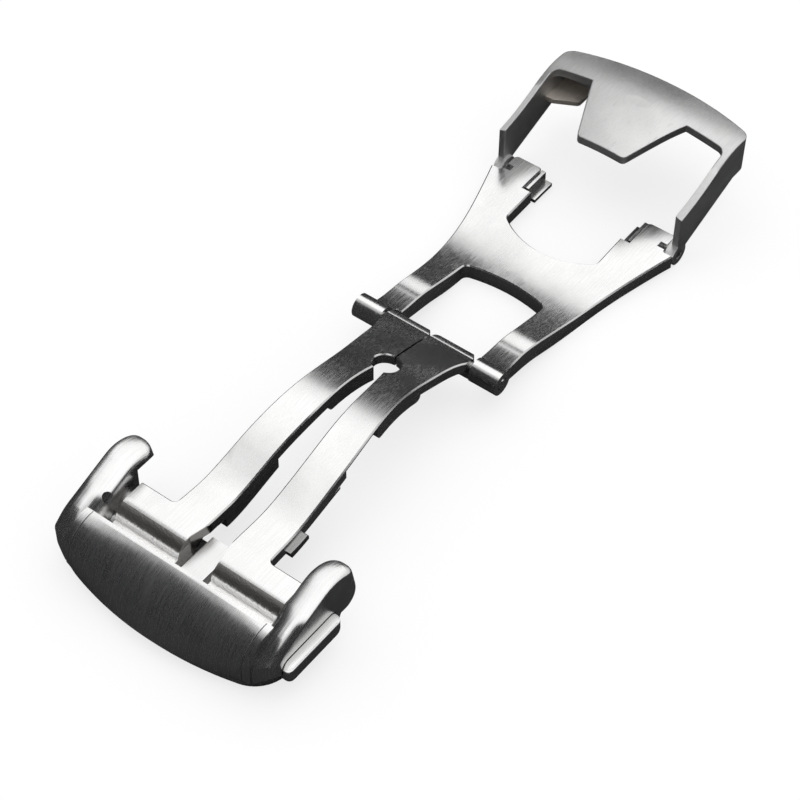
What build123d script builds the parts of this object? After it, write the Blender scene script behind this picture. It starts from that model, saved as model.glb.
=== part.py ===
"""Deployant clasp for a watch strap, shown open, in millimetres.

The origin is the middle of the spring bar that holds one end of the strap, between the two horns of
the cover. X runs along the clasp from the cover to the flap, Y across it and Z up.
"""

import os

from build123d import *

# Sizes that everything else follows
strap_width = 18.0
strap_play = 0.2
bar_to_hinge = 31.5
hinge_drop = 2.3
arm_rise = 3.7
blade_sag = 2.05

# Play between pieces
slide_gap = 0.12
running_gap = 0.05
overrun = 30.0

# Breaking of the sharp edges, on faces that look up at least as much as the share says
edge_break = 0.12
upward_share = 0.6

# Places of the hinge
horn_gap_half = (strap_width + strap_play) / 2
hinge_x = bar_to_hinge
hinge_z = -hinge_drop

# Cover frame
horn_thick = 2.6
cover_half = horn_gap_half + horn_thick
cover_depth = 5.5
crown_inner_radius = 1.5
crown_outer_radius = 0.85
horn_front_x = -4.95
horn_tip_x = 7.0
horn_top_z = 2.5
horn_profile_shares = (
    (0.0, -0.68),
    (0.1715, -0.02),
    (0.7406, 0.98),
    (0.9247, 0.432),
    (1.0, -1.44),
    (0.7406, -1.40),
)
horn_round_shares = (0.15, 0.335, 0.293, 0.167, 0.145)
horn_round_low_z = -3.75
horn_back_top_x = 3.6
horn_back_top_z = -4.2
horn_back_x = 1.8
face_top_x = -2.0
face_top_z = 0.1
face_mid_x = -4.9
face_mid_z = -1.6
face_low_x = -6.4
face_low_z = -4.3
face_foot_x = -6.1
face_foot_share = 0.8
face_bulge = 1.45
face_stations_share = 0.5
cover_front_play = 0.15
cover_front_bow = 2.4
side_ground = 0.01
bottom_front_x = -5.84
bottom_front_bow = 1.93
bottom_half = 10.85
bottom_corner = 3.4
bottom_draft = 26.5
bar_end_lap = 0.7
bar_back_x = -1.75
bar_under_z = -2.15
front_wall_x = -4.3
corner_radius = 1.2
bar_hole_radius = 0.5
bar_hole_depth = 1.3
tip_cut_x = 3.55
tip_inner_z = 0.2
tip_outer_z = -3.7

# Feet of the arms, inside the cover
foot_side_gap = 0.55
foot_half = horn_gap_half - foot_side_gap
foot_top_z = -0.8
foot_floor_z = -2.3
foot_back_x = 3.45
foot_bend_x = 1.55
foot_front_x = -4.1
foot_inner = 1.75
foot_thick = 1.2
foot_slope = 0.45
foot_hollow = 1.65
foot_corner = 0.5

# Arms
arm_thick = 1.15
arm_arch_shares = (
    (0.88, 0.40),
    (0.72, 0.66),
    (0.57, 0.90),
    (0.41, 1.0),
    (0.22, 0.77),
    (0.08, 0.49),
)
arm_outer_shares = (
    (0.87, 0.975),
    (0.65, 0.94),
    (0.54, 0.895),
    (0.43, 0.83),
    (0.33, 0.785),
    (0.25, 0.785),
    (0.16, 0.82),
    (0.07, 0.88),
)
arm_inner_shares = (
    (0.90, 0.26),
    (0.65, 0.245),
    (0.50, 0.20),
    (0.36, 0.17),
)
arm_half = 5.0
knuckle_radius = 1.08
leaf_end_radius = 1.3
leaf_end_half = 4.7
slit_half = 0.09
keyhole_radius = 1.25
keyhole_x = -6.2
slit_start_x = -5.3
arm_pad_from_x = -12.9
arm_pad_to_x = -6.6
arm_pad_depth = 0.68
arm_pad_round = 0.5
arm_edge_thick = 0.3
arm_relief_from_x = -18.2
arm_relief_full_x = -17.0
arm_relief_outer = 5.5
arm_relief_start_y = 3.55
arm_relief_end_y = 3.1

# Catches under the arms
catch_from_x = -26.9
catch_to_x = -18.6
catch_inner = 1.45
catch_outer = 4.75
catch_plate = 0.3
catch_depth = 1.65
catch_ear_from_x = -25.7
catch_ear_to_x = -23.5
catch_ear_half = 5.2
lug_from_x = -25.8
lug_to_x = -19.0
lug_slant = 0.9
lug_inner = 1.55
lug_outer = 4.0
hook_outer = 4.75
hook_thick = 0.4
hook_from_x = -25.0
hook_to_x = -22.8

# Hinge
pin_radius = 0.55
pin_proud = 0.08
blade_knuckle_radius = 1.15
blade_knuckle_inner = 5.0
blade_knuckle_outer = 7.85

# Folding blade
blade_thick = 1.4
blade_length = 26.3
blade_half = 10.3
blade_start_z = 0.55
blade_profile_shares = (
    (0.10, 0.15),
    (0.165, 0.20),
    (0.235, 0.36),
    (0.30, 0.56),
    (0.44, 0.90),
    (0.58, 1.0),
    (0.76, 0.90),
    (1.02, 0.77),
)
blade_deeper_shares = (0.0, 0.15, 0.28, 0.28, 0.28, 0.14, 0.0, 0.0, 0.0)
tine_outer_start = 7.25
blade_outer_shares = (
    (0.06, 0.695),
    (0.16, 0.685),
    (0.26, 0.69),
    (0.36, 0.705),
    (0.47, 0.735),
    (0.62, 0.80),
    (0.78, 0.905),
    (0.885, 0.985),
)
ear_length = 2.55
ear_inset = 1.1
ear_corner = 0.5
fork_corner = 0.7
bay_side_half = 5.1
ear_window_length = 0.7
ear_window_depth = 0.8
ear_window_setback = 0.65
fork_inner = 4.42
fork_start_x = 1.75
cross_bar_setback = 14.9
cross_bar_bow = 0.65
bay_depth = 7.3
bay_bow = 1.85
ear_notch_depth = 3.3
ear_notch_inset = 3.15
catch_tab_length = 2.9
catch_tab_inner = 4.9
catch_tab_drop = 1.3
catch_tab_thick = 0.4
catch_wall_foot = 5.68
catch_wall_lap = 0.1
catch_wall_top = 0.3

# Places of the blade's features, taken from its length and width
ear_step_x = blade_length - ear_length
ear_end_half = blade_half - ear_inset
ear_notch_x = blade_length - ear_notch_depth
ear_notch_half = ear_end_half - ear_notch_inset
bay_root_x = blade_length - bay_depth
cross_bar_x = blade_length - cross_bar_setback

# Flap frame and its pivots
pivot_setback = 1.2
pivot_x = blade_length - pivot_setback
pivot_z = -2.35
pivot_radius = 0.42
pivot_boss_radius = 1.15
pivot_hole_depth = 1.7
boss_gap = 0.12
flap_side_inset = 0.05
leg_outer = blade_half - flap_side_inset
leg_wall = 0.65
flap_length = 12.5
flap_far_x = pivot_x + flap_length
flap_far_bow = 1.5
flap_crown_shares = (
    (-0.143, 0.62, 0.29),
    (0.098, 0.80, 0.43),
    (0.338, 0.93, 0.60),
    (0.549, 1.0, 0.77),
    (0.759, 0.97, 0.82),
    (1.03, 0.82, 0.745),
)
flap_corner_radius = 1.2
plate_top_z = 5.75
plate_far_z = 4.75
plate_thick = 0.8
tongue_gap = 1.2
tongue_root_reach = 7.7
tongue_front_half = 2.6
tongue_root_half = 5.3
tongue_corner = 0.6
window_corner = 0.8
leg_front_setback = 0.35
leg_low_far_z = 0.85
leg_low_middle_reach = 8.8
leg_low_near_reach = 1.5
leg_low_near_z = -1.75
far_lip = 1.5
far_window_half = 7.2
keeper_gap = 6.4
keeper_slant = 1.2
keeper_width = 3.5
keeper_z = 2.1
keeper_thick = 0.5
keeper_root_inset = 1.5
keeper_reach = 2.27
keeper_corner = 0.5
peg_reach = 4.2
peg_radius = 0.75
peg_length = 1.9
peg_round = 0.25
peg_root_radius = 1.0
peg_root_length = 0.55

# Places of the flap's features, taken from its pivots
tongue_front_x = pivot_x + tongue_gap
tongue_root_x = pivot_x + tongue_root_reach
leg_front_x = pivot_x - leg_front_setback
leg_low_middle_x = pivot_x + leg_low_middle_reach
leg_low_near_x = pivot_x + leg_low_near_reach
keeper_from_x = pivot_x + keeper_gap
keeper_to_x = keeper_from_x + keeper_width
keeper_root_y = leg_outer - keeper_root_inset
keeper_end_y = keeper_root_y - keeper_reach
peg_x = pivot_x + peg_reach

# Base plate under the feet
base_top_z = -3.62
base_thick = 1.15
base_front_x = -4.0
base_back_x = 3.5
base_side_wall = 1.4
base_half = cover_half - base_side_wall
base_front_corner = 3.2
base_back_corner = 0.8
rib_half = 1.12
rib_top_z = -2.4
rib_front_x = -3.9
screw_middle_x = 0.85
screw_span_x = 3.5
screw_y = 9.62
screw_radius = 0.4
screw_head_radius = 0.58
screw_head = 0.4
screw_length = 1.9
screw_slot = 0.22
screw_slot_depth = 0.18
stud_x = -3.25
stud_y = 5.2
stud_radius = 0.5
stud_travel = 0.62
stud_below = 0.15

# Buttons
button_x = 0.2
button_z = -3.0
button_length = 6.7
button_height = 2.35
button_proud = 0.65
button_pocket = 0.9
button_round = 0.75
button_travel = 0.5
button_edge = 0.45
stem_seat = 0.6
stem_radius = 0.55
stem_z = -2.9
collar_radius = 0.66
collar_thick = 0.35


def side_plane(y):
    """A plane seen from the side, X to the right and Z up, through the hinge axis."""
    return Plane(origin=(hinge_x, y, hinge_z), x_dir=(1, 0, 0), z_dir=(0, -1, 0))


def cover_side(y):
    """The same plane through the spring bar axis."""
    return Plane(origin=(0, y, 0), x_dir=(1, 0, 0), z_dir=(0, -1, 0))


def plan_plane(z):
    """A level plane, seen from above, centred on the hinge."""
    return Plane(origin=(hinge_x, 0, hinge_z + z))


def scaled(shares, along, across):
    """Turns pairs of shares into points."""
    return [(a * along, b * across) for a, b in shares]


def top_edges(shape):
    """The edges round the largest of the faces that look up."""
    faces = shape.faces().filter_by(lambda face: face.normal_at().Z > upward_share)
    return faces.sort_by(SortBy.AREA)[-1].edges()


# Arms, each one spring leaf from the hinge to its foot in the cover
arm_reach = bar_to_hinge - foot_back_x
foot_z = foot_top_z + hinge_drop
foot_low_z = foot_floor_z + hinge_drop
foot_back = foot_back_x - bar_to_hinge
foot_bend = foot_bend_x - bar_to_hinge
foot_front = foot_front_x - bar_to_hinge
foot_drop = foot_z - foot_low_z
hollow_x = foot_bend - (2 * foot_hollow * foot_drop - foot_drop**2) ** 0.5


def arch_points(drop):
    """The points of the arm's arch from the foot to the hinge, lowered by drop."""
    arch = [(-a * arm_reach, b * arm_rise - drop) for a, b in arm_arch_shares]
    return [(foot_back, foot_z - drop), *arch, (0, knuckle_radius - drop)]


def arch_line(drop):
    """The arch as a line from the hinge to the foot, lowered by drop."""
    return Spline(*reversed(arch_points(drop)), tangents=[(-1, foot_slope), (-1, 0)])


def arm_outline(side):
    """The arm seen from above, on the left for side 1 and on the right for side -1."""
    outer = [(-a * arm_reach, side * b * arm_half) for a, b in arm_outer_shares]
    inner = [(-a * arm_reach, side * b * arm_half) for a, b in arm_inner_shares]
    Spline((foot_back, side * arm_half), *outer, (-knuckle_radius, side * leaf_end_half))
    FilletPolyline(
        (-knuckle_radius, side * leaf_end_half),
        (knuckle_radius, side * leaf_end_half),
        (knuckle_radius, side * slit_half),
        (slit_start_x, side * slit_half),
        radius=leaf_end_radius,
    )
    Spline((slit_start_x, side * slit_half), *reversed(inner), (foot_back, inner[0][1]))
    Polyline(
        (foot_back, inner[0][1]),
        (foot_bend, side * foot_inner),
        (foot_front, side * foot_inner),
        (foot_front, side * foot_half),
        (foot_back, side * foot_half),
        (foot_back, side * arm_half),
    )


def under_arm(top, low, outline):
    """A layer under the arm, from one depth below the arm's top to another, cut to an outline."""
    upper = arch_points(top)
    lower = arch_points(low)
    with BuildPart() as layer:
        with BuildSketch(side_plane(overrun)):
            with BuildLine():
                arch_line(top)
                Line(upper[-1], lower[-1])
                arch_line(low)
                Line(lower[0], upper[0])
            make_face()
        extrude(amount=2 * overrun)
        with BuildSketch(plan_plane(-overrun)):
            with BuildLine():
                Polyline(*outline, close=True)
            make_face()
        extrude(amount=2 * overrun, mode=Mode.INTERSECT)
    return layer.part


def make_arm(side):
    """One arm with its foot, its rolled end and its half of the keyhole."""
    top = arch_points(0)
    low = arch_points(arm_thick)
    relief = under_arm(
        arm_edge_thick,
        arm_thick + slide_gap,
        [
            (arm_relief_from_x, side * arm_relief_outer),
            (arm_relief_full_x, side * arm_relief_start_y),
            (arm_pad_from_x, side * arm_relief_end_y),
            (arm_pad_from_x, side * arm_relief_outer),
        ],
    )
    with BuildPart() as arm:
        with BuildSketch(side_plane(foot_half + overrun)):
            with BuildLine():
                arch_line(0)
                Line(top[-1], low[-1])
                arch_line(arm_thick)
                Polyline(
                    low[0],
                    (foot_bend + foot_thick, low[0][1]),
                    (foot_bend, foot_low_z - foot_thick),
                    (foot_front, foot_low_z - foot_thick),
                    (foot_front, foot_low_z),
                    (hollow_x, foot_low_z),
                )
                RadiusArc((hollow_x, foot_low_z), (foot_bend, foot_z), foot_hollow)
                Line((foot_bend, foot_z), top[0])
            make_face()
        extrude(amount=2 * (foot_half + overrun))
        with BuildSketch(side_plane(foot_half)) as pad:
            with BuildLine():
                arch_line(arm_thick / 2)
                Line(arch_points(arm_thick / 2)[-1], arch_points(arm_thick + arm_pad_depth)[-1])
                arch_line(arm_thick + arm_pad_depth)
                Line(arch_points(arm_thick + arm_pad_depth)[0], arch_points(arm_thick / 2)[0])
            make_face()
            with Locations(((arm_pad_from_x + arm_pad_to_x) / 2, 0)):
                Rectangle(arm_pad_to_x - arm_pad_from_x, overrun, mode=Mode.INTERSECT)
            fillet(pad.vertices().sort_by(Axis.Y)[:2], arm_pad_round)
        extrude(amount=2 * foot_half)
        with Locations((hinge_x, 0, hinge_z)):
            Cylinder(knuckle_radius, 4 * leaf_end_half, rotation=(90, 0, 0))
        with BuildSketch(plan_plane(-overrun)) as outline:
            with BuildLine():
                arm_outline(side)
            make_face()
            inside_corner = (foot_back, side * arm_half)
            fillet(outline.vertices().sort_by_distance(inside_corner)[0], foot_corner)
        extrude(amount=2 * overrun, mode=Mode.INTERSECT)
        add(relief, mode=Mode.SUBTRACT)
        with Locations((hinge_x, 0, hinge_z)):
            Cylinder(
                pin_radius + running_gap, 4 * leaf_end_half, rotation=(90, 0, 0), mode=Mode.SUBTRACT
            )
        with Locations((hinge_x + keyhole_x, 0, hinge_z)):
            Cylinder(keyhole_radius, 2 * overrun, mode=Mode.SUBTRACT)
        with BuildSketch(plan_plane(-overrun)):
            with Locations((stud_x - bar_to_hinge, side * (stud_y + stud_travel / 2))):
                SlotOverall(
                    2 * (stud_radius + slide_gap) + stud_travel, 2 * (stud_radius + slide_gap), rotation=90
                )
        extrude(amount=2 * overrun, mode=Mode.SUBTRACT)
        curved = top_edges(arm).filter_by(GeomType.BSPLINE)
        chamfer(curved.filter_by_position(Axis.X, foot_bend_x, hinge_x + slit_start_x), edge_break)
    return arm.part


left_arm = make_arm(1)
right_arm = make_arm(-1)


def button_plane(side, y):
    """A plane across the side of the cover at y, centred on a button and facing out."""
    return Plane(origin=(button_x, side * y, button_z), x_dir=(1, 0, 0), z_dir=(0, side, 0))


def stem_plane(side, y):
    """The same plane, centred on the stem behind the button."""
    return Plane(origin=(button_x, side * y, stem_z), x_dir=(1, 0, 0), z_dir=(0, side, 0))


def base_shape(play):
    """The outline of the base plate or, with some play, of its seat."""
    with BuildSketch() as shape:
        with Locations(((base_front_x + base_back_x) / 2, 0)):
            Rectangle(base_back_x - base_front_x + 2 * play, 2 * (base_half + play))
        fillet(shape.vertices().group_by(Axis.X)[0], base_front_corner + play)
        fillet(shape.vertices().group_by(Axis.X)[-1], base_back_corner + play)
    return shape.sketch


def base_screw(mode):
    """A countersunk screw with its head down, from the underside of the base plate."""
    bottom = (Align.CENTER, Align.CENTER, Align.MIN)
    Cone(screw_head_radius, screw_radius, screw_head, align=bottom, mode=mode)
    Cylinder(screw_radius, screw_length, align=bottom, mode=mode)


def horn_edge(edge):
    """Tells the edges of the horns' front, crown and tip from those of their straight back."""
    middle = edge @ 0.5
    on_front = abs(middle.X - horn_front_x) < slide_gap
    return on_front or middle.Z > horn_round_low_z


# Cover frame, the body with its two horns and the bar between them
def horn_outline():
    """The horn seen from the side: a smooth front, crown and tip, and a stepped back."""
    length = horn_tip_x - horn_front_x
    points = [(horn_front_x + a * length, b * horn_top_z) for a, b in horn_profile_shares]
    start = (horn_front_x, -cover_depth)
    FilletPolyline(start, *points, radius=[r * length for r in horn_round_shares])
    Polyline(points[-1], (horn_back_top_x, horn_back_top_z), (horn_back_x, -cover_depth), start)


# The sides are ground down a little after the horns are rounded
side_y = cover_half - side_ground

# Front bar with its curved face, whose lower edge is drawn back towards the sides
bar_end = horn_gap_half + bar_end_lap
station = face_stations_share * bar_end
with BuildPart() as front_bar:
    for y in (-bar_end, -horn_gap_half, -station, 0, station, horn_gap_half, bar_end):
        back = face_bulge * (y / horn_gap_half) ** 2
        with BuildSketch(cover_side(y)):
            with BuildLine():
                low = (face_low_x + back, face_low_z)
                top = (face_top_x, face_top_z)
                ThreePointArc(top, (face_mid_x, face_mid_z), low)
                Polyline(
                    low,
                    (face_foot_x + back * face_foot_share, -cover_depth),
                    (front_wall_x, -cover_depth),
                    (front_wall_x, bar_under_z),
                    (bar_back_x, bar_under_z),
                    (bar_back_x, face_top_z),
                    top,
                )
            make_face()
    loft()

with BuildPart() as cover_frame:
    for outer_y in (cover_half, -horn_gap_half):
        with BuildSketch(cover_side(outer_y)):
            with BuildLine():
                horn_outline()
            make_face()
        extrude(amount=horn_thick)
    horn_middle = horn_gap_half + horn_thick / 2
    crown = cover_frame.edges().filter_by(Plane.XZ).filter_by(horn_edge)
    fillet(crown.filter_by_position(Axis.Y, -horn_middle, horn_middle), crown_inner_radius)
    crown = cover_frame.edges().filter_by(Plane.XZ).filter_by(horn_edge)
    fillet(crown.group_by(Axis.Y)[0] + crown.group_by(Axis.Y)[-1], crown_outer_radius)
    add(front_bar.part)
    with BuildSketch(Plane.XY.offset(-cover_depth - slide_gap)) as cover_outline:
        with BuildLine():
            front_x = face_low_x - cover_front_play
            corner_x = front_x + cover_front_bow
            ThreePointArc((corner_x, -side_y), (front_x, 0), (corner_x, side_y))
            Polyline(
                (corner_x, side_y),
                (horn_tip_x, side_y),
                (horn_tip_x, -side_y),
                (corner_x, -side_y),
            )
        make_face()
        fillet(cover_outline.vertices().group_by(Axis.X)[0], corner_radius)
    extrude(amount=cover_depth + horn_top_z + slide_gap, mode=Mode.INTERSECT)
    # The sides and the front draw in towards the underside
    with BuildSketch(Plane.XY.offset(-cover_depth)) as cover_bottom:
        with BuildLine():
            low_corner_x = bottom_front_x + bottom_front_bow
            ThreePointArc((low_corner_x, -bottom_half), (bottom_front_x, 0), (low_corner_x, bottom_half))
            Polyline(
                (low_corner_x, bottom_half),
                (2 * horn_tip_x, bottom_half),
                (2 * horn_tip_x, -bottom_half),
                (low_corner_x, -bottom_half),
            )
        make_face()
        fillet(cover_bottom.vertices().group_by(Axis.X)[0], bottom_corner)
    extrude(amount=cover_depth + horn_top_z, taper=-bottom_draft, mode=Mode.INTERSECT)
    # Undercut of the horn tips, slanting down to the outside
    for side in (1, -1):
        with BuildSketch(Plane.YZ.offset(tip_cut_x)):
            with BuildLine():
                Polyline(
                    (side * horn_gap_half, tip_inner_z),
                    (side * cover_half, tip_outer_z),
                    (side * cover_half, -cover_depth),
                    (side * horn_gap_half, -cover_depth),
                    close=True,
                )
            make_face()
        extrude(amount=overrun, mode=Mode.SUBTRACT)
    # Seat of the base plate
    with BuildSketch(Plane.XY.offset(base_top_z + slide_gap / 2)):
        add(base_shape(slide_gap))
    extrude(amount=-overrun, mode=Mode.SUBTRACT)
    # Holes of the spring bar, the buttons, their stems and the screws
    with Locations(*[(0, side * horn_gap_half, 0) for side in (1, -1)]):
        Cylinder(bar_hole_radius, 2 * bar_hole_depth, rotation=(90, 0, 0), mode=Mode.SUBTRACT)
    for side in (1, -1):
        with BuildSketch(button_plane(side, cover_half - button_pocket)):
            RectangleRounded(
                button_length + 2 * slide_gap, button_height + 2 * slide_gap, button_round + slide_gap
            )
        extrude(amount=overrun, mode=Mode.SUBTRACT)
        with BuildSketch(stem_plane(side, cover_half)):
            Circle(stem_radius + running_gap)
        extrude(amount=-horn_thick - slide_gap, mode=Mode.SUBTRACT)
    with Locations(Location((screw_middle_x, 0, base_top_z - base_thick))):
        with GridLocations(screw_span_x, 2 * screw_y, 2, 2):
            Cylinder(
                screw_radius,
                screw_length,
                align=(Align.CENTER, Align.CENTER, Align.MIN),
                mode=Mode.SUBTRACT,
            )
    across = cover_frame.edges().filter_by(lambda edge: edge.length > horn_gap_half)
    bar_top = across.filter_by_position(Axis.Z, 0, face_top_z + slide_gap)
    chamfer(bar_top.sort_by(Axis.X)[0], edge_break)

# Base plate, closing the cover from below, with the rib that shows between the feet
with BuildPart() as base_plate:
    with BuildSketch(Plane.XY.offset(base_top_z)):
        add(base_shape(0))
    extrude(amount=-base_thick)
    with BuildSketch(Plane.XY.offset(base_top_z)):
        with Locations(((rib_front_x + base_back_x) / 2, 0)):
            Rectangle(base_back_x - rib_front_x, 2 * rib_half)
    extrude(amount=rib_top_z - base_top_z)
    with Locations(Location((screw_middle_x, 0, base_top_z - base_thick))):
        with GridLocations(screw_span_x, 2 * screw_y, 2, 2):
            base_screw(Mode.SUBTRACT)
    with Locations(*[(stud_x, side * stud_y, base_top_z - base_thick) for side in (1, -1)]):
        Cylinder(
            stud_radius, base_thick, align=(Align.CENTER, Align.CENTER, Align.MIN), mode=Mode.SUBTRACT
        )

# Four screws that hold the base plate up against the cover frame
with BuildPart() as base_screws:
    with Locations(Location((screw_middle_x, 0, base_top_z - base_thick))):
        with GridLocations(screw_span_x, 2 * screw_y, 2, 2):
            base_screw(Mode.ADD)
            Box(
                2 * screw_head_radius,
                screw_slot,
                2 * screw_slot_depth,
                mode=Mode.SUBTRACT,
            )


def make_stud(side):
    """The stud in the base plate that keeps one foot in the cover and lets it slide across."""
    with BuildPart() as stud:
        with Locations((stud_x, side * stud_y, base_top_z - base_thick)):
            Cylinder(
                stud_radius,
                foot_floor_z - stud_below - base_top_z + base_thick,
                align=(Align.CENTER, Align.CENTER, Align.MIN),
            )
        chamfer(stud.edges().group_by(Axis.Z)[-1], stud_radius / 4)
    return stud.part


def make_button(side):
    """One release button, proud of the side of the cover."""
    inner = cover_half - button_pocket + button_travel + running_gap
    with BuildPart() as button:
        with BuildSketch(button_plane(side, inner)):
            RectangleRounded(button_length, button_height, button_round)
        extrude(amount=cover_half + button_proud - inner)
        fillet(button.faces().sort_by(Axis.Y)[-1 if side > 0 else 0].edges(), button_edge)
        with BuildSketch(stem_plane(side, inner)):
            Circle(stem_radius)
        extrude(amount=stem_seat, mode=Mode.SUBTRACT)
    return button.part


def make_plunger(side):
    """The stem from one button to the foot of its arm, with a collar inside the horn."""
    inner = foot_half + running_gap
    outer = cover_half - button_pocket + button_travel + running_gap + stem_seat
    with BuildPart() as plunger:
        with BuildSketch(stem_plane(side, inner)):
            Circle(stem_radius)
        extrude(amount=outer - inner)
        with BuildSketch(stem_plane(side, inner)):
            Circle(collar_radius)
        extrude(amount=collar_thick)
    return plunger.part


# Folding blade: one pressed sheet, forked at the hinge and at the flap, with two knuckles
def blade_points(drop):
    """The blade's top line from the hinge to its ears, lowered by drop."""
    line = scaled(blade_profile_shares, blade_length, -blade_sag)
    return [(x, z - drop) for x, z in [(0, blade_start_z), *line]]


def blade_layer(top, low, deeper_shares):
    """A sheet that follows the blade's top line, from one depth below it to another."""
    upper = blade_points(top)
    lower = [
        (x, z - share * blade_thick)
        for (x, z), share in zip(blade_points(low), deeper_shares, strict=True)
    ]
    with BuildPart() as layer:
        with BuildSketch(side_plane(overrun)):
            with BuildLine():
                Spline(*upper)
                Line(upper[-1], lower[-1])
                Spline(*reversed(lower))
                Line(lower[0], upper[0])
            make_face()
        extrude(amount=2 * overrun)
    return layer.part


def tab_strip(top, low, inner, outer):
    """A pair of strips at the blade's end, between two depths and two distances from the middle."""
    level = [0] * len(blade_deeper_shares)
    with BuildPart() as strips:
        with BuildSketch(plan_plane(-overrun)):
            for side in (1, -1):
                with Locations((blade_length - catch_tab_length / 2, side * (inner + outer) / 2)):
                    Rectangle(catch_tab_length, outer - inner)
        extrude(amount=2 * overrun)
        add(blade_layer(top, low, level), mode=Mode.INTERSECT)
    return strips.part


tab_low = catch_tab_drop + catch_tab_thick
tab_outer = ear_notch_half + catch_wall_lap

def blade_edge(edge):
    """Tells the blade's open edges from those beside its knuckles and its pivots."""
    middle = edge @ 0.5
    past_knuckle = middle.X > hinge_x + fork_start_x - slide_gap
    inside_window = abs(middle.Y) < ear_end_half - ear_window_depth - slide_gap
    return past_knuckle and (inside_window or middle.X > hinge_x + pivot_x + pivot_radius)


with BuildPart() as fold_blade:
    with BuildSketch(plan_plane(-overrun)) as blade_outline:
        with BuildLine():
            outer = scaled(blade_outer_shares, blade_length, blade_half)
            Line((0, blade_knuckle_inner), (0, tine_outer_start))
            Spline((0, tine_outer_start), *outer, (ear_step_x, blade_half))
            Polyline(
                (ear_step_x, blade_half),
                (ear_step_x, ear_end_half),
                (blade_length, ear_end_half),
                (blade_length, ear_notch_half),
                (ear_notch_x, ear_notch_half),
                (ear_notch_x, bay_side_half),
                (bay_root_x, bay_side_half),
            )
            ThreePointArc(
                (bay_root_x, bay_side_half),
                (bay_root_x - bay_bow * (1 - 1 / 4), bay_side_half / 2),
                (bay_root_x - bay_bow, 0),
            )
            Line((bay_root_x - bay_bow, 0), (cross_bar_x + cross_bar_bow, 0))
            ThreePointArc(
                (cross_bar_x + cross_bar_bow, 0),
                (cross_bar_x + cross_bar_bow * (1 - 1 / 4), fork_inner / 2),
                (cross_bar_x, fork_inner),
            )
            Polyline(
                (cross_bar_x, fork_inner),
                (fork_start_x, fork_inner),
                (fork_start_x, blade_knuckle_inner),
                (0, blade_knuckle_inner),
            )
        make_face()
        for place, radius in (
            ((cross_bar_x, fork_inner), fork_corner),
            ((bay_root_x, bay_side_half), fork_corner),
            ((blade_length, ear_end_half), ear_corner),
            ((blade_length, ear_notch_half), ear_corner),
            ((ear_step_x, ear_end_half), ear_corner / 2),
        ):
            fillet(blade_outline.vertices().sort_by_distance(place)[0], radius)
        mirror(about=Plane.XZ)
    extrude(amount=2 * overrun)
    add(blade_layer(0, blade_thick, blade_deeper_shares), mode=Mode.INTERSECT)
    add(tab_strip(catch_tab_drop, tab_low, catch_tab_inner, tab_outer))
    add(tab_strip(catch_wall_top, tab_low, catch_wall_foot, tab_outer))
    knuckle_middle = (blade_knuckle_inner + blade_knuckle_outer) / 2
    with Locations(*[(hinge_x, side * knuckle_middle, hinge_z) for side in (1, -1)]):
        Cylinder(blade_knuckle_radius, blade_knuckle_outer - blade_knuckle_inner, rotation=(90, 0, 0))
        Cylinder(pin_radius + running_gap, horn_gap_half, rotation=(90, 0, 0), mode=Mode.SUBTRACT)
    with Locations(*[(hinge_x + pivot_x, side * ear_end_half, hinge_z + pivot_z) for side in (1, -1)]):
        Cylinder(
            pivot_radius + running_gap, 2 * pivot_hole_depth, rotation=(90, 0, 0), mode=Mode.SUBTRACT
        )
    window_x = hinge_x + pivot_x - ear_window_setback
    with Locations(*[(window_x, side * ear_end_half, hinge_z + pivot_z) for side in (1, -1)]):
        Box(
            ear_window_length,
            2 * ear_window_depth,
            blade_thick,
            align=(Align.CENTER, Align.CENTER, Align.MIN),
            mode=Mode.SUBTRACT,
        )
    chamfer(top_edges(fold_blade).filter_by(blade_edge), edge_break)


def make_catch(side):
    """The catch under one arm: a seated strip with an ear, a lug and a hook turned outwards."""
    plate_low = arm_thick + catch_plate
    lug_low = arm_thick + catch_depth
    strip = under_arm(
        arm_thick,
        plate_low,
        [
            (catch_from_x, side * catch_inner),
            (catch_to_x, side * catch_inner),
            (catch_to_x, side * catch_outer),
            (catch_ear_to_x, side * catch_outer),
            (catch_ear_to_x, side * catch_ear_half),
            (catch_ear_from_x, side * catch_ear_half),
            (catch_ear_from_x, side * catch_outer),
            (catch_from_x, side * catch_outer),
        ],
    )
    lug = under_arm(
        arm_thick,
        lug_low,
        [
            (lug_from_x, side * lug_inner),
            (lug_to_x, side * lug_inner),
            (lug_to_x - lug_slant, side * lug_outer),
            (lug_from_x, side * lug_outer),
        ],
    )
    hook = under_arm(
        lug_low - hook_thick,
        lug_low,
        [
            (hook_from_x, side * lug_outer),
            (hook_to_x, side * lug_outer),
            (hook_to_x, side * hook_outer),
            (hook_from_x, side * hook_outer),
        ],
    )
    with BuildPart() as catch:
        add(strip)
        add(lug)
        add(hook)
    return catch.part


# Hinge pin through the arms' rolled ends and the blade's knuckles
with BuildPart() as hinge_pin:
    with Locations((hinge_x, 0, hinge_z)):
        Cylinder(pin_radius, 2 * (blade_knuckle_outer + pin_proud), rotation=(90, 0, 0))
    chamfer(hinge_pin.edges().filter_by(GeomType.CIRCLE), pin_proud)


# Flap: a crowned plate with a tongue, on two thin legs with round bosses
def flap_crown(drop):
    """The space under the flap's crowned top, lowered by drop."""
    with BuildPart() as crown:
        for x_share, centre_share, edge_share in flap_crown_shares:
            centre_z = hinge_z + centre_share * plate_top_z - drop
            edge_z = hinge_z + edge_share * plate_top_z - drop
            with BuildSketch(Plane.YZ.offset(hinge_x + pivot_x + x_share * flap_length)):
                with BuildLine():
                    left = (leg_outer, edge_z)
                    right = (-leg_outer, edge_z)
                    ThreePointArc(left, (0, centre_z), right)
                    Polyline(right, (-leg_outer, -overrun), (leg_outer, -overrun), left)
                make_face()
        loft()
    return crown.part


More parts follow.
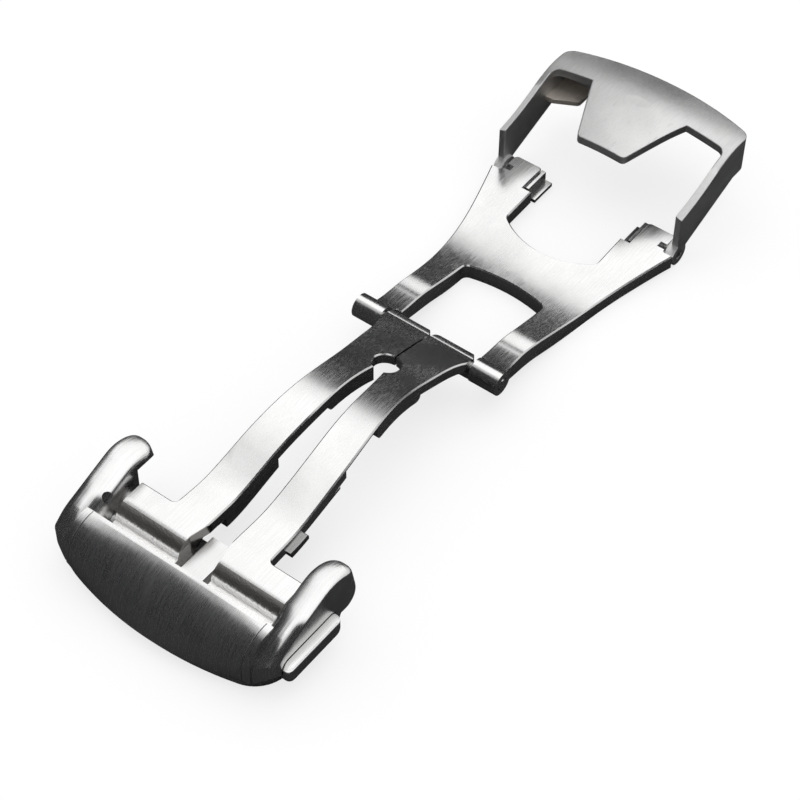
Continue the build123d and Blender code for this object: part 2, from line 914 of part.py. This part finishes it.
def flap_block(inset):
    """The flap's outline from above, with its bowed far edge, drawn in by inset and extruded."""
    half = leg_outer - inset
    far = flap_far_x - inset
    with BuildPart() as block:
        with BuildSketch(plan_plane(-overrun)) as outline:
            with BuildLine():
                ThreePointArc((far - flap_far_bow, half), (far, 0), (far - flap_far_bow, -half))
                Polyline(
                    (far - flap_far_bow, -half),
                    (pivot_x - pivot_boss_radius, -half),
                    (pivot_x - pivot_boss_radius, half),
                    (far - flap_far_bow, half),
                )
            make_face()
            fillet(outline.vertices().group_by(Axis.X)[-1], flap_corner_radius - inset)
        extrude(amount=2 * overrun)
    return block.part


with BuildPart() as flap_inside:
    add(flap_block(leg_wall))
    add(flap_crown(plate_thick), mode=Mode.INTERSECT)

with BuildPart() as flap_frame:
    add(flap_block(0))
    add(flap_crown(0), mode=Mode.INTERSECT)
    with BuildSketch(side_plane(overrun)):
        with BuildLine():
            Polyline(
                (leg_front_x, pivot_z),
                (leg_front_x, plate_top_z),
                (flap_far_x, plate_top_z),
                (flap_far_x, leg_low_far_z),
                (leg_low_middle_x, leg_low_far_z),
                (leg_low_near_x, leg_low_near_z),
                (pivot_x, pivot_z),
                close=True,
            )
        make_face()
        with Locations((pivot_x, pivot_z)):
            Circle(pivot_boss_radius)
    extrude(amount=2 * overrun, mode=Mode.INTERSECT)
    add(flap_inside.part, mode=Mode.SUBTRACT)
    # Opening between the legs, round the tongue
    with BuildSketch(plan_plane(-overrun)) as window:
        with Locations(((tongue_root_x + pivot_x - pivot_boss_radius) / 2, 0)):
            Rectangle(tongue_root_x - pivot_x + pivot_boss_radius, 2 * (leg_outer - leg_wall))
        with BuildLine():
            Polyline(
                (tongue_root_x, tongue_root_half),
                (tongue_front_x, tongue_front_half),
                (tongue_front_x, -tongue_front_half),
                (tongue_root_x, -tongue_root_half),
                close=True,
            )
        make_face(mode=Mode.SUBTRACT)
        for y in (tongue_front_half, -tongue_front_half):
            fillet(window.vertices().sort_by_distance((tongue_front_x, y))[0], tongue_corner)
        for y in (leg_outer, -leg_outer):
            fillet(window.vertices().sort_by_distance((tongue_root_x, y))[0], window_corner)
    extrude(amount=2 * overrun, mode=Mode.SUBTRACT)
    # The far wall is cut away below its lip, where the strap leaves
    with BuildSketch(side_plane(far_window_half)):
        with Locations((flap_far_x, plate_far_z - far_lip)):
            Rectangle(2 * flap_far_bow + 2 * leg_wall, overrun, align=(Align.CENTER, Align.MAX))
    extrude(amount=2 * far_window_half, mode=Mode.SUBTRACT)
    boss_inner = ear_end_half + boss_gap
    for side in (1, -1):
        with Locations((hinge_x + pivot_x, side * (boss_inner + leg_outer) / 2, hinge_z + pivot_z)):
            Cylinder(pivot_boss_radius, leg_outer - boss_inner, rotation=(90, 0, 0))
            Cylinder(pivot_radius, leg_outer, rotation=(90, 0, 0), mode=Mode.SUBTRACT)


def make_flap_pin(side):
    """The short pin from a boss of the flap into the blade's ear."""
    inner = ear_end_half - pivot_hole_depth + boss_gap
    with BuildPart() as pin:
        with Locations((hinge_x + pivot_x, side * (inner + leg_outer) / 2, hinge_z + pivot_z)):
            Cylinder(pivot_radius, leg_outer - inner, rotation=(90, 0, 0))
    return pin.part


# Keeper tab, bent in from the left leg under the plate
with BuildPart() as keeper_tab:
    with BuildSketch(plan_plane(keeper_z)) as keeper_outline:
        with BuildLine():
            Polyline(
                (keeper_from_x, leg_outer - leg_wall),
                (keeper_from_x, keeper_root_y),
                (keeper_from_x + keeper_slant, keeper_end_y),
                (keeper_to_x, keeper_end_y),
                (keeper_to_x, leg_outer - leg_wall),
                close=True,
            )
        make_face()
        fillet(keeper_outline.vertices().group_by(Axis.Y)[0], keeper_corner)
    extrude(amount=-keeper_thick)

# Peg under the tongue, for a hole in the strap, with a thicker root against the plate
with BuildPart() as strap_peg:
    with BuildSketch(plan_plane(plate_top_z)):
        with Locations((peg_x, 0)):
            Circle(peg_root_radius)
    extrude(amount=-overrun)
    add(flap_inside.part, mode=Mode.INTERSECT)
    peg_top = strap_peg.part.bounding_box().max.Z
    with BuildSketch(Plane.XY.offset(peg_top - peg_root_length)):
        with Locations((hinge_x + peg_x, 0)):
            Circle(2 * peg_root_radius)
    extrude(amount=-overrun, mode=Mode.SUBTRACT)
    with BuildSketch(Plane.XY.offset(peg_top - peg_length)):
        with Locations((hinge_x + peg_x, 0)):
            Circle(peg_radius)
    extrude(amount=peg_length - peg_root_length)
    fillet(strap_peg.edges().group_by(Axis.Z)[0], peg_round)

pieces = {
    "cover_frame": cover_frame.part,
    "base_plate": base_plate.part,
    "base_screws": base_screws.part,
    "left_guide_stud": make_stud(1),
    "right_guide_stud": make_stud(-1),
    "left_button": make_button(1),
    "right_button": make_button(-1),
    "left_plunger": make_plunger(1),
    "right_plunger": make_plunger(-1),
    "left_arm": left_arm,
    "right_arm": right_arm,
    "left_catch": make_catch(1),
    "right_catch": make_catch(-1),
    "hinge_pin": hinge_pin.part,
    "fold_blade": fold_blade.part,
    "flap_frame": flap_frame.part,
    "left_flap_pin": make_flap_pin(1),
    "right_flap_pin": make_flap_pin(-1),
    "keeper_tab": keeper_tab.part,
    "strap_peg": strap_peg.part,
}

os.makedirs("parts", exist_ok=True)
for name, piece in pieces.items():
    piece.label = name
    export_step(piece, f"parts/{name}.step")
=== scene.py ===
import math

import bpy
from mathutils import Matrix, Vector


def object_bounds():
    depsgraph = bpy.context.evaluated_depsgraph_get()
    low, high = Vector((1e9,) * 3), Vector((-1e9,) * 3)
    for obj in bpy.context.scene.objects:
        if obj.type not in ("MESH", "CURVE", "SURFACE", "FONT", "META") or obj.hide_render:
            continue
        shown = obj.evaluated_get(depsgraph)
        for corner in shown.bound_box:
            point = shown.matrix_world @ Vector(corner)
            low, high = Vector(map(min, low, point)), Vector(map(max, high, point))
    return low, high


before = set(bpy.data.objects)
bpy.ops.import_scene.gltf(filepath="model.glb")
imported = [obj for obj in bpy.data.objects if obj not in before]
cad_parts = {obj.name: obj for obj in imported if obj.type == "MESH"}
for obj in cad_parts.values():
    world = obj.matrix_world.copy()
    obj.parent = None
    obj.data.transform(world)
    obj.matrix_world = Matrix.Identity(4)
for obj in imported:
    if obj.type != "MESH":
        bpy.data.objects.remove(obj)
solid_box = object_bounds()

# The camera takes the photograph's view: a long lens high above the front of the open clasp
# and a little to its right. The cover is near it, and the flap is at the far end.
millimetre = 0.001
camera_place = Vector((-75.685, -77.567, 139.692)) * millimetre
camera_back = Vector((-0.5292, -0.3988, 0.7490)).normalized()
camera_roll = math.radians(0.5)
lens_length = 99.0
film_width = 36.0
near_limit = 10 * millimetre
far_limit = 20.0

camera_data = bpy.data.cameras.new("photo_lens")
camera_data.lens = lens_length
camera_data.sensor_width = film_width
camera_data.clip_start = near_limit
camera_data.clip_end = far_limit
camera = bpy.data.objects.new("photo_camera", camera_data)
bpy.context.scene.collection.objects.link(camera)
level_right = Vector((0, 0, 1)).cross(camera_back).normalized()
level_up = camera_back.cross(level_right)
camera_right = math.cos(camera_roll) * level_right + math.sin(camera_roll) * level_up
camera_up = math.cos(camera_roll) * level_up - math.sin(camera_roll) * level_right
camera_turn = Matrix((camera_right, camera_up, camera_back)).transposed().to_4x4()
camera.matrix_world = Matrix.Translation(camera_place) @ camera_turn
bpy.context.scene.camera = camera

# The studio is a white card on a table, inside a bright cloth tent, under one wide soft lamp.
# Dark boards stand round the clasp, out of the picture, high on its left and low on its right,
# and one lies under it. They show in the metal alone, and give it its dark sides.
sheet_half = 1.5
sheet_level = solid_box[0][2]
sheet_white = (0.9, 0.9, 0.9)
sheet_glow = 0.72
card_roughness = 0.9
board_half = 0.6
board_lift = 0.02 * millimetre
board_grey = (0.04, 0.04, 0.041)
# How high each corner of the ring of boards stands, in degrees seen from the clasp. The first
# corner is beyond the flap, and the others follow anticlockwise.
board_top_angles = (31, 37, 41, 66, 69, 68, 64, 32, 50, 53, 14, 8)
# How bright the tent's cloth and the lamp's face look, where 1 is white.
tent_light = 0.95
lamp_light = 0.58
lamp_way = Vector((0.2, 0.18, 0.96)).normalized()
lamp_distance = 0.9
lamp_size = 1.3


class Finish:
    """A material in the making, with short ways to add to its nodes."""

    def __init__(self, name):
        self.material = bpy.data.materials.new(name)
        self.material.use_nodes = True
        self.tree = self.material.node_tree
        self.shader = self.tree.nodes["Principled BSDF"]

    def node(self, kind, settings, feeds):
        """A node, with its settings and the outputs that feed it."""
        node = self.tree.nodes.new(kind)
        for name, value in settings.items():
            if name in node.inputs:
                node.inputs[name].default_value = value
            else:
                setattr(node, name, value)
        for name, output in feeds.items():
            self.tree.links.new(output, node.inputs[name])
        return node

    def reckon(self, operation, first, second=0.0):
        """A sum, product or other reckoning, in which each value is a number or an output."""
        node = self.node("ShaderNodeMath", {"operation": operation}, {})
        for socket, value in zip(node.inputs, (first, second)):
            if isinstance(value, float):
                socket.default_value = value
            else:
                self.tree.links.new(value, socket)
        return node.outputs["Value"]


def card(name, colour):
    """Plain card with no shine, for the studio."""
    made = Finish(name)
    made.shader.inputs["Base Color"].default_value = (*colour, 1)
    made.shader.inputs["Roughness"].default_value = card_roughness
    made.shader.inputs["Specular IOR Level"].default_value = 0.0
    return made


def stage_board(name, corners, made):
    """A flat board of the studio, given by its corners."""
    mesh = bpy.data.meshes.new(name)
    mesh.from_pydata(corners, [], [tuple(range(len(corners)))])
    mesh.materials.append(made.material)
    board = bpy.data.objects.new(name, mesh)
    bpy.context.scene.collection.objects.link(board)
    return board


def show_in_metal_alone(board):
    """Takes a board out of the picture and out of the soft light, but not out of reflections."""
    board.visible_camera = False
    board.visible_diffuse = False
    board.visible_shadow = False


def level_square(half, level):
    """The corners of a square that lies flat."""
    return [(-half, -half, level), (half, -half, level), (half, half, level), (-half, half, level)]


# Where the sheet is seen, most of its white is its own, so the shadows on it stay faint.
white_card = card("white_sheet", sheet_white)
ray = white_card.node("ShaderNodeLightPath", {}, {}).outputs
seen = white_card.reckon("ADD", ray["Is Camera Ray"], ray["Is Glossy Ray"])
seen = white_card.reckon("ADD", seen, ray["Is Transmission Ray"])
glow_share = white_card.reckon("MULTIPLY", seen, sheet_glow)
glow = white_card.node("ShaderNodeEmission", {"Strength": 1.0}, {})
surface = white_card.node("ShaderNodeMixShader", {}, {"Fac": glow_share})
links = white_card.tree.links
links.new(white_card.shader.outputs["BSDF"], surface.inputs[1])
links.new(glow.outputs["Emission"], surface.inputs[2])
links.new(surface.outputs["Shader"], white_card.tree.nodes["Material Output"].inputs["Surface"])
stage_board("floor", level_square(sheet_half, sheet_level), white_card)

dark_card = card("board_grey", board_grey)
low_corners = level_square(board_half, sheet_level + board_lift)
show_in_metal_alone(stage_board("low_board", low_corners, dark_card))
ring_corners = []
for step, top_angle in enumerate(board_top_angles):
    way = math.tau * step / len(board_top_angles)
    top_level = board_half * math.tan(math.radians(top_angle))
    ring_corners.append((board_half * math.cos(way), board_half * math.sin(way), top_level))
for step, end in enumerate(ring_corners):
    start = ring_corners[step - 1]
    wall_corners = [(*start[:2], sheet_level), (*end[:2], sheet_level), end, start]
    show_in_metal_alone(stage_board(f"ring_board_{step}", wall_corners, dark_card))

world = bpy.data.worlds.new("light_tent")
world.use_nodes = True
tent = world.node_tree.nodes["Background"]
tent.inputs["Color"].default_value = (1, 1, 1, 1)
tent.inputs["Strength"].default_value = tent_light
bpy.context.scene.world = world

lamp_data = bpy.data.lights.new("top_lamp", "AREA")
lamp_data.shape = "SQUARE"
lamp_data.size = lamp_size
lamp_data.energy = lamp_light * math.pi * lamp_size**2
lamp = bpy.data.objects.new("top_lamp", lamp_data)
bpy.context.scene.collection.objects.link(lamp)
lamp.location = lamp_way * lamp_distance
lamp.rotation_euler = lamp_way.to_track_quat("Z", "Y").to_euler()
bpy.context.scene.view_settings.view_transform = "Standard"

# The cover is milled from one block of stainless steel: two horns, and the bar between them.
# A fine belt brushed it from front to back, which rounded the bar's face and flattened the
# horns' crowns a little. A groove runs down the face at each side, where bar and horn meet.
seam_y = 9.12 * millimetre
seam_half = 0.05 * millimetre
seam_depth = 0.05 * millimetre
seam_back_x = -1.8 * millimetre
face_low_x = -4.8 * millimetre
face_top_x = -1.6 * millimetre
face_fall = 0.29 * millimetre
crown_start_x = -1.2 * millimetre
crown_full_x = 0.4 * millimetre
crown_lean = (0.15, 0.5)
crown_level = 0.6


class Steel(Finish):
    """Stainless steel with the belt's hair lines, and cloudy marks where fingers have been.

    The hair lines are given by their width, length and depth in millimetres, and by the axes
    that they run along. A piece may add its own marks to the colour, roughness, height and
    lean before it is dressed.
    """

    # How light the bottom of a hair line stays: the brushing's random tone, with painted shade
    # where the lines lie deep.
    deep_hair_shade_share = 0.88
    hair_contrast = 0.18
    hair_matt = (-0.04, 0.05)
    hair_matt_contrast = 0.2
    smear_size = 6.25 * millimetre
    smear_matt = (-0.03, 0.04)
    smear_contrast = 0.15

    def __init__(self, name, shine, roughness, hair, along="X", tint=(1.0, 0.998, 0.992)):
        super().__init__(name)
        self.shader.inputs["Metallic"].default_value = 1.0
        self.place = self.node("ShaderNodeTexCoord", {}, {}).outputs["Object"]

        width, length, depth = (size * millimetre for size in hair)
        scale = [1.0 / (length if axis in along else width) for axis in "XYZ"]
        stretched = self.node("ShaderNodeMapping", {"Scale": scale}, {"Vector": self.place})
        hairs = self.noise(stretched.outputs["Vector"], 1.0, detail=2.0, roughness=0.6)
        smears = self.noise(self.place, 1.0 / self.smear_size, detail=3.0, roughness=0.55)

        # Painted shade: the same noise that cuts the hair lines darkens the colour where they lie
        # deep.
        bright = tuple(shine * share for share in tint)
        deep_hair_shade = tuple(self.deep_hair_shade_share * value for value in bright)
        hair_share = self.spread(hairs, self.hair_contrast, 0.0, 1.0)
        self.colour = self.mix("RGBA", hair_share, (*deep_hair_shade, 1.0), (*bright, 1.0))
        low, high = (roughness + change for change in self.hair_matt)
        hair_rough = self.spread(hairs, self.hair_matt_contrast, low, high)
        smear_rough = self.spread(smears, self.smear_contrast, *self.smear_matt)
        self.rough = self.reckon("ADD", hair_rough, smear_rough)
        self.height = self.reckon("MULTIPLY", hairs, depth)
        self.lean = self.node("ShaderNodeNewGeometry", {}, {}).outputs["Normal"]

    def noise(self, place, scale, detail, roughness):
        """Random light and dark, which stays around one half."""
        settings = {"Scale": scale, "Detail": detail, "Roughness": roughness}
        return self.node("ShaderNodeTexNoise", settings, {"Vector": place}).outputs["Fac"]

    def ramp(self, value, low, high, from_value, to_value):
        """A smooth change from one value to another while the given one rises from low to high."""
        settings = {
            "interpolation_type": "SMOOTHSTEP",
            "From Min": low,
            "From Max": high,
            "To Min": from_value,
            "To Max": to_value,
        }
        return self.node("ShaderNodeMapRange", settings, {"Value": value}).outputs["Result"]

    def spread(self, noise, contrast, from_value, to_value):
        """A smooth change from one value to another over the middle part of a noise."""
        return self.ramp(noise, 0.5 - contrast, 0.5 + contrast, from_value, to_value)

    def mix(self, kind, share, first, second):
        """A colour or a direction between two, of which each is a fixed one or an output."""
        node = self.node("ShaderNodeMix", {"data_type": kind}, {"Factor": share})
        ends = [socket for socket in node.inputs if socket.type == kind][-2:]
        for socket, value in zip(ends, (first, second)):
            if isinstance(value, tuple):
                socket.default_value = value
            else:
                self.tree.links.new(value, socket)
        return [socket for socket in node.outputs if socket.type == kind][0]

    def times(self, first, *others):
        """The product of several values, such as shares that all have to hold."""
        for other in others:
            first = self.reckon("MULTIPLY", first, other)
        return first

    def axes(self, direction):
        """The X, Y and Z of a place or a direction."""
        return self.node("ShaderNodeSeparateXYZ", {}, {"Vector": direction}).outputs

    def raise_by(self, *heights):
        """Adds heights to the relief, in metres."""
        for height in heights:
            self.height = self.reckon("ADD", self.height, height)

    def lay_level(self, share):
        """As far as the share goes, light runs over the surface as if it lay level."""
        self.lean = self.mix("VECTOR", share, self.lean, (0.0, 0.0, 1.0))

    def dress(self, *names):
        """Joins the finished colour, roughness and relief, and puts the steel on the pieces."""
        feeds = {"Height": self.height, "Normal": self.lean}
        relief = self.node("ShaderNodeBump", {"Strength": 1.0, "Distance": 1.0}, feeds)
        self.tree.links.new(self.colour, self.shader.inputs["Base Color"])
        self.tree.links.new(self.rough, self.shader.inputs["Roughness"])
        self.tree.links.new(relief.outputs["Normal"], self.shader.inputs["Normal"])
        for name in names:
            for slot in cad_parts[name].material_slots:
                slot.material = self.material


cover = Steel("cover_steel", shine=0.72, roughness=0.26, hair=(0.08, 3.5, 0.001), along="XZ")
x, y, _ = cover.axes(cover.place)
past_seam = cover.reckon("SUBTRACT", cover.reckon("ABSOLUTE", y), seam_y)
on_seam = cover.ramp(cover.reckon("ABSOLUTE", past_seam), 0.0, seam_half, 1.0, 0.0)
on_face = cover.reckon("LESS_THAN", x, seam_back_x)
groove = cover.times(on_seam, on_face, -seam_depth)
cover.raise_by(groove, cover.ramp(x, face_low_x, face_top_x, -face_fall, 0.0))
lean_z = cover.axes(cover.lean)["Z"]
on_horn = cover.reckon("GREATER_THAN", past_seam, 0.0)
behind_face = cover.ramp(x, crown_start_x, crown_full_x, 0.0, crown_level)
on_crown = cover.ramp(lean_z, *crown_lean, 0.0, 1.0)
cover.lay_level(cover.times(on_horn, behind_face, on_crown))
cover.dress("cover_frame")

# The base plate closes the cover from below. It is stamped from sheet and lightly brushed,
# and its middle rib stands up between the feet of the arms.
plate = Steel("plate_steel", shine=0.76, roughness=0.3, hair=(0.09, 2.0, 0.001))
plate.dress("base_plate")

# The release buttons are milled from bar and sit in the cover's sides. They are polished by
# hand and by use, which has rounded their edges and the upper half of their faces.
button_edge = 0.5 * millimetre
round_low_z = -2.9 * millimetre
round_high_z = -2.2 * millimetre
round_level = 0.85


def soften(made, radius):
    """Edges broken by tumbling: light runs round them as round a small radius."""
    settings = {"samples": 6, "Radius": radius}
    made.lean = made.node("ShaderNodeBevel", settings, {}).outputs["Normal"]


buttons = Steel("button_steel", shine=0.7, roughness=0.24, hair=(0.1, 5.0, 0.0004))
soften(buttons, button_edge)
z = buttons.axes(buttons.place)["Z"]
buttons.lay_level(buttons.ramp(z, round_low_z, round_high_z, 0.0, round_level))
buttons.dress("left_button", "right_button")

# The arms are two sprung leaves, polished on top, whose feet slide in the cover. A foot's floor
# has a stamped grain, and its near-white tone is partly painted light where the step shades it.
# The step behind it and the foot's sides are coloured dark as painted shade. The belt took a
# little off behind the crest, so the top falls away there.
grain_size = 0.2 * millimetre
grain_depth = 0.05 * millimetre
step_top_z = -0.9 * millimetre
step_low_z = -1.45 * millimetre
floor_z = -1.75 * millimetre
ragged_height = 0.6 * millimetre
step_back_x = 1.5 * millimetre
foot_back_x = 3.7 * millimetre
side_lean = (0.5, 0.8)
floor_matt = 0.14
floor_level = 0.95
# Pale for the foot floor's grain and for painted light on it; dark for painted shade on the step
# and the foot's sides.
floor_grain_and_painted_light_tone = (0.95, 0.94, 0.93, 1)
painted_shade_tone = (0.27, 0.26, 0.25, 1)
fall_start_x = 15.8 * millimetre
fall_end_x = 26.8 * millimetre
fall = 1.0 * millimetre

arms = Steel("arm_steel", shine=0.72, roughness=0.22, hair=(0.1, 5.0, 0.0003))
x, _, z = arms.axes(arms.place)
low_down = arms.reckon("LESS_THAN", z, step_top_z)
forward = arms.reckon("LESS_THAN", x, step_back_x)
in_slot = arms.times(low_down, forward)
grain = arms.noise(arms.place, 1.0 / grain_size, detail=3.0, roughness=0.7)
arms.raise_by(arms.times(grain, in_slot, grain_depth))
arms.rough = arms.reckon("ADD", arms.rough, arms.times(in_slot, floor_matt))
# Painted shade: below a ragged level the step is coloured dark, and the floor above it pale.
ragged = arms.times(arms.reckon("SUBTRACT", grain, 0.5), ragged_height)
step_shade_share = arms.ramp(arms.reckon("ADD", z, ragged), floor_z, step_low_z, 0.0, 1.0)
slot_painted_light_and_shade = arms.mix("RGBA", step_shade_share, floor_grain_and_painted_light_tone, painted_shade_tone)
arms.colour = arms.mix("RGBA", in_slot, arms.colour, slot_painted_light_and_shade)
# Painted shade: the foot's sides inside the cover are coloured dark.
lean_y = arms.axes(arms.lean)["Y"]
sideways = arms.ramp(arms.reckon("ABSOLUTE", lean_y), *side_lean, 0.0, 1.0)
in_cover = arms.reckon("LESS_THAN", x, foot_back_x)
side_shade_share = arms.times(sideways, in_cover, low_down)
arms.colour = arms.mix("RGBA", side_shade_share, arms.colour, painted_shade_tone)
arms.raise_by(arms.ramp(x, fall_start_x, fall_end_x, 0.0, -fall))
on_floor = arms.ramp(z, floor_z, step_low_z, floor_level, 0.0)
arms.lay_level(arms.times(on_floor, forward))
arms.dress("left_arm", "right_arm")

# The catches are small pressings let in under the arms, matt from the press.
# The tabs of the folded blade come against them.
catches = Steel("catch_steel", shine=0.5, roughness=0.38, hair=(0.12, 1.2, 0.002))
catches.dress("left_catch", "right_catch")

# The folding blade is stamped from one sheet and bent. It is brushed along its length, and
# the belt left a shallow dip and a crest across the fork's two arms.
dip_start_x = 32.4 * millimetre
dip_end_x = 35.6 * millimetre
dip = 0.26 * millimetre
crest_start_x = 36.0 * millimetre
crest_end_x = 38.4 * millimetre
crest = 0.32 * millimetre

blade = Steel("blade_steel", shine=0.72, roughness=0.2, hair=(0.1, 4.0, 0.0006))
x = blade.axes(blade.place)["X"]
dipped = blade.ramp(x, dip_start_x, dip_end_x, 0.0, -dip)
raised = blade.ramp(x, crest_start_x, crest_end_x, 0.0, crest)
blade.raise_by(dipped, raised)
blade.dress("fold_blade")

# The flap is pressed from one sheet. The strap has rubbed its crowned top flatter, and a few
# stray scratches cross it. Its legs are ground level and bright along their tops.
flap_edge = 0.22 * millimetre
flat_start_x = 61.0 * millimetre
flat_end_x = 68.6 * millimetre
flat_rise = 0.5 * millimetre
leg_inner_y = 8.6 * millimetre
leg_fade_x = 61.5 * millimetre
leg_end_x = 62.5 * millimetre
leg_lean = (0.2, 0.5)
leg_level = 0.85
scratch_turn = math.radians(38)
scratches_per_metre = (700.0, 11000.0, 700.0)
scratch_range = (0.7, 0.76)
scratch_depth = 0.006 * millimetre

flap = Steel("flap_steel", shine=0.68, roughness=0.48, hair=(0.1, 3.0, 0.0016))
soften(flap, flap_edge)
slant = {"Rotation": (0.0, 0.0, scratch_turn), "Scale": scratches_per_metre}
slanted = flap.node("ShaderNodeMapping", slant, {"Vector": flap.place})
streaks = flap.noise(slanted.outputs["Vector"], 1.0, detail=1.0, roughness=0.4)
scratches = flap.ramp(streaks, *scratch_range, 0.0, 1.0)
x, y, _ = flap.axes(flap.place)
flattened = flap.ramp(x, flat_start_x, flat_end_x, 0.0, flat_rise)
flap.raise_by(flap.times(scratches, -scratch_depth), flattened)
lean_z = flap.axes(flap.lean)["Z"]
beside = flap.reckon("GREATER_THAN", flap.reckon("ABSOLUTE", y), leg_inner_y)
along_leg = flap.ramp(x, leg_fade_x, leg_end_x, leg_level, 0.0)
on_top = flap.ramp(lean_z, *leg_lean, 0.0, 1.0)
flap.lay_level(flap.times(beside, along_leg, on_top))
flap.dress("flap_frame")

# The keeper tab is bent in from the flap's left leg, under the plate. It is left matt, with a
# warm tint, and its tone is raised near white as painted light, which lifts it out of the plate's
# shade.
warm_tint = (1.0, 0.93, 0.85)
keeper = Steel("keeper_steel", shine=0.96, roughness=0.62, hair=(0.1, 2.0, 0.001), tint=warm_tint)
keeper.dress("keeper_tab")

# Pins, plungers, studs, screws and the strap's peg are turned from bright rod, and the tool's
# fine marks run round them. The first ones lie across the clasp, and the others stand upright.
turned_hair = (0.05, 2.0, 0.0006)
pins = Steel("turned_steel", shine=0.64, roughness=0.24, hair=turned_hair, along="XZ")
pins.dress("hinge_pin", "left_flap_pin", "right_flap_pin", "left_plunger", "right_plunger")
studs = Steel("stud_steel", shine=0.64, roughness=0.24, hair=turned_hair, along="XY")
studs.dress("left_guide_stud", "right_guide_stud", "base_screws", "strap_peg")
